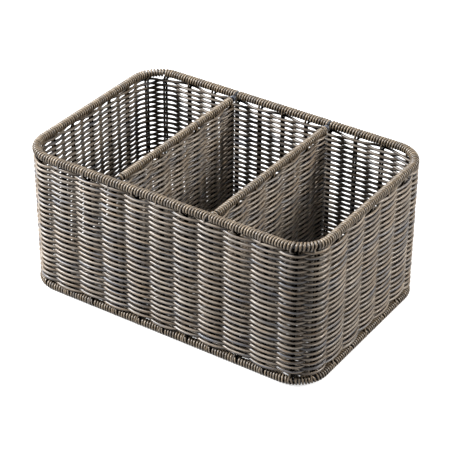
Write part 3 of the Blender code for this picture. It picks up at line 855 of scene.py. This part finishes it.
def make_divider(side, x):
    """A divider's woven panel, stakes, rods and wound bar."""
    line = bar_line(x)
    strand = divider_rows(1 if x > 0 else -1)
    beyond = np.maximum(np.abs(strand[:, 1]) - END_STAKE_Y, 0) * np.sign(strand[:, 1])
    at_end = beyond != 0
    outward = np.tile([1.0, 0.0, 0.0], (len(strand), 1))
    outward[at_end] = unit(np.column_stack([strand[:, 0], beyond, 0 * beyond])[at_end])
    offset = np.where(at_end, SWING, strand[:, 0])
    bundle = Bundle(ROW_SIDES)
    bundle.add(strand + np.array([x, 0, 0]), np.tile(UP, (len(strand), 1)), ROW_RADIUS,
               painted_shade=painted_shade_from_wall(outward, offset, ROW_RADIUS))
    build(f"divider_weave_strand_{side}", bundle, WEAVE, [f"divider_weave_{side}"])

    first_fold, last_fold, first_gap, last_gap, loose_place = BAR_ENDS[side]
    folds = DIVIDER_PLACES + FOLD_SHIFT
    folds[0], folds[-1] = first_fold, last_fold
    bundle = Bundle(TURN_SIDES)
    for place, fold in zip(DIVIDER_PLACES, folds):
        centres, normals, thickness, painted_shade = stake_loop(
            line, place, BAR_Z, SILL_Z, BAR_TURN, fold - place - FOLD_SHIFT)
        bundle.add(centres, normals, thickness, closed=True, painted_shade=painted_shade)
    build(f"divider_stake_loops_{side}", bundle, WOUND, [])

    bundle = Bundle(ROD_SIDES)
    bar_reach = PATH_HALF_WIDTH - RING_ROD / 2
    for z, reach in ((BAR_Z, bar_reach), (SILL_Z, END_STAKE_Y + CANE)):
        points, outward = line(np.linspace(-reach, reach, ROD_STEPS))
        bundle.add(points + UP * z, outward, BAR_ROD / 2, tone=0.5)
    build(f"divider_rods_{side}", bundle, WIRE, [f"divider_frame_{side}"])

    after, before = np.full(len(folds), BAR_GAP_AFTER), np.full(len(folds), GAP_BEFORE)
    after[0], before[-1] = first_gap, last_gap
    places, _ = turn_places(folds, 0.0, before, after, np.zeros(len(folds)))
    places = np.concatenate([[places[0] - WRAP_PITCH], places])
    centres, normals = winding(line, places, np.zeros(len(places)), BAR_TURN, BAR_Z, 1)
    bundle = Bundle(TURN_SIDES)
    bundle.add(centres, normals, painted_shade=painted_turn_shade)
    if loose_place:
        centres, normals = loose_turn(line, loose_place, BAR_TURN + LOOSE, BAR_Z)
        bundle.add(centres, normals, closed=True, tone=0.9, painted_shade=painted_turn_shade)
    build(f"divider_wound_cane_{side}", bundle, WOUND, [f"divider_bar_wrap_{side}"])


def make_ties(side, x):
    """Short dark blue-grey lashings where a divider's bar meets the top ring; the front ones get
    painted shade, dark all round.
    """
    for end, distance, (first, last, shift), painted_shade, lashings in (
            ("front", x, FRONT_TIE, painted_recess_shade, ()),
            ("back", 2 * QUARTER - x, BACK_TIE, no_painted_shade, BACK_LASHINGS)):
        bundle = Bundle(TURN_SIDES)
        angle = np.radians(np.linspace(first, last, TIE_STEPS))
        for aside in (-TIE_RADIUS, TIE_RADIUS):
            points, outward = path(distance + shift + aside + SLANT * np.sin(angle))
            radial = outward * np.cos(angle)[:, None] + UP * np.sin(angle)[:, None]
            bundle.add(points + UP * TOP_RING_Z + radial * (RING_ROD / 2 + TIE_RADIUS), radial,
                       TIE_RADIUS, painted_shade=painted_shade)
        for place in lashings:
            centres, normals = loose_turn(bar_line(x), place, BAR_ROD / 2 + TIE_RADIUS, BAR_Z)
            bundle.add(centres, normals, TIE_RADIUS, closed=True)
        build(f"bar_lashing_{side}_{end}", bundle, TIE, [f"bar_tie_{side}_{end}"])


def ring_reach(across, half_across, half_along, inner):
    """How far the space inside the base ring reaches along, at a distance across."""
    radius = PATH_RADIUS - inner
    over = max(0.0, abs(across) - (half_across - PATH_RADIUS))
    return half_along - PATH_RADIUS + math.sqrt(max(0.0, radius ** 2 - over ** 2))


def make_base():
    """The woven base: pairs of canes across the width, and cane woven along the length."""
    stakes_x = np.unique(np.round(STAKE_X, 6))
    stakes_x = stakes_x[np.abs(stakes_x) < STRAIGHT_X + PATH_RADIUS * BASE_CORNER_SHARE]
    inner = RIM_RADIUS - STRAND * BASE_END_SHARE
    bundle = Bundle(TURN_SIDES)
    for x in stakes_x:
        for side in (-STRAND, STRAND):
            reach = ring_reach(x + side, PATH_HALF_LENGTH, PATH_HALF_WIDTH, inner)
            y = np.linspace(-reach, reach, BASE_STAKE_STEPS)
            centres = np.column_stack([np.full_like(y, x + side), y,
                                       np.full_like(y, BASE_MIDDLE_Z)])
            bundle.add(centres, np.tile(UP, (len(y), 1)))
    build("base_stakes", bundle, SHADED_UPRIGHT, [])

    bundle = Bundle(TURN_SIDES)
    widest = PATH_HALF_WIDTH - RIM_RADIUS - STRAND
    rows = round(2 * widest / ROW_PITCH) + 1
    numbers = np.arange(len(stakes_x))
    for row in range(rows):
        y = -widest + 2 * widest * row / (rows - 1)
        reach = ring_reach(y, PATH_HALF_WIDTH, PATH_HALF_LENGTH, inner)
        x = np.linspace(-reach, reach, BASE_ROW_STEPS)
        following = np.searchsorted(stakes_x, x).clip(1, len(stakes_x) - 1)
        start, end = stakes_x[following - 1], stakes_x[following]
        share = (x - start) / (end - start)
        first = np.where((following - 1 + row) % 2, 1.0, -1.0)
        z = SWING * first * over_under(np.clip(share, 0, 1))
        nearest = np.interp(x, stakes_x, np.where((numbers + row) % 2, 1.0, -1.0))
        past = np.abs(np.where(share < 0, share, share - 1))
        z = np.where((share < 0) | (share > 1), SWING * nearest * np.clip(1 - past, 0, 1), z)
        centres = np.column_stack([x, np.full_like(x, y), BASE_MIDDLE_Z + z])
        bundle.add(centres, np.tile(ALONG_Y, (len(x), 1)), ROW_RADIUS)
    build("base_weave_rows", bundle, WEAVE, ["base_weave"], flat_foot=True)


# Stage --------------------------------------------------------------------------------------

def camera_sees(tree):
    """1 for rays that reach the camera directly, by gloss or through glass."""
    rays = tree.nodes.new("ShaderNodeLightPath").outputs
    seen = rays["Is Camera Ray"]
    for name in ("Is Glossy Ray", "Is Transmission Ray"):
        either = tree.nodes.new("ShaderNodeMath")
        either.operation = "MAXIMUM"
        tree.links.new(seen, either.inputs[0])
        tree.links.new(rays[name], either.inputs[1])
        seen = either.outputs[0]
    return seen


def make_surroundings():
    """White for the camera, and little light for the rest."""
    world = bpy.data.worlds.new("studio")
    bpy.context.scene.world = world
    world.use_nodes = True
    tree = world.node_tree
    mix = tree.nodes.new("ShaderNodeMix")
    mix.data_type = "RGBA"
    mix.inputs[6].default_value = ROOM_LIGHT
    mix.inputs[7].default_value = WHITE
    tree.links.new(camera_sees(tree), mix.inputs["Factor"])
    tree.links.new(mix.outputs[2], tree.nodes["Background"].inputs["Color"])


def make_floor():
    """A pale floor that glows white for the camera and keeps the basket's shadow."""
    size = FLOOR_HALF_SIZE
    mesh = bpy.data.meshes.new("floor")
    mesh.from_pydata([(-size, -size, 0), (size, -size, 0), (size, size, 0), (-size, size, 0)],
                     [], [(0, 1, 2, 3)])
    floor = bpy.data.objects.new("floor", mesh)
    bpy.context.scene.collection.objects.link(floor)
    material = bpy.data.materials.new("floor_white")
    material.use_nodes = True
    tree = material.node_tree
    shader = tree.nodes["Principled BSDF"]
    shader.inputs["Base Color"].default_value = (FLOOR_GREY, FLOOR_GREY, FLOOR_GREY, 1)
    shader.inputs["Roughness"].default_value = 0.9
    shader.inputs["Specular IOR Level"].default_value = 0.1
    shader.inputs["Emission Color"].default_value = WHITE
    glow = tree.nodes.new("ShaderNodeMath")
    glow.operation = "MULTIPLY"
    glow.inputs[1].default_value = FLOOR_GLOW
    tree.links.new(camera_sees(tree), glow.inputs[0])
    tree.links.new(glow.outputs[0], shader.inputs["Emission Strength"])
    mesh.materials.append(material)


def make_lamps():
    """Soft square lamps."""
    for name, place, size, power, colour in LAMPS:
        lamp = bpy.data.lights.new(name, "AREA")
        lamp.energy = power
        lamp.color = colour
        lamp.size = size
        holder = bpy.data.objects.new(name, lamp)
        holder.location = place
        aim = LAMP_TARGET - Vector(place)
        holder.rotation_euler = aim.to_track_quat("-Z", "Y").to_euler()
        bpy.context.scene.collection.objects.link(holder)


def make_camera():
    """The camera at the photograph's viewing angle."""
    back = Vector((math.sin(YAW) * math.cos(PITCH), -math.cos(YAW) * math.cos(PITCH),
                   math.sin(PITCH)))
    level = Vector((math.cos(YAW), math.sin(YAW), 0))
    upright = back.cross(level)
    right = level * math.cos(ROLL) + upright * math.sin(ROLL)
    up = upright * math.cos(ROLL) - level * math.sin(ROLL)
    eye = right * EYE_RIGHT + Vector((0, 0, EYE_Z)) + back * EYE_BACK
    camera = bpy.data.objects.new("camera", bpy.data.cameras.new("camera"))
    camera.data.lens = LENS
    camera.data.sensor_width = SENSOR
    camera.matrix_world = Matrix((
        (right.x, up.x, back.x, eye.x), (right.y, up.y, back.y, eye.y),
        (right.z, up.z, back.z, eye.z), (0, 0, 0, 1)))
    bpy.context.scene.collection.objects.link(camera)
    bpy.context.scene.camera = camera


for node in ("top_ring_rod", "base_ring_rod"):
    for material_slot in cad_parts[node].material_slots:
        material_slot.material = WIRE
make_walls()
make_stakes()
make_windings()
for divider_side, divider_x in (("left", -DIVIDER_X), ("right", DIVIDER_X)):
    make_divider(divider_side, divider_x)
for divider_side, divider_x in (("left", -DIVIDER_X), ("right", DIVIDER_X)):
    make_ties(divider_side, divider_x)
make_base()

bpy.context.scene.view_settings.view_transform = "Standard"
make_surroundings()
make_floor()
make_lamps()
make_camera()
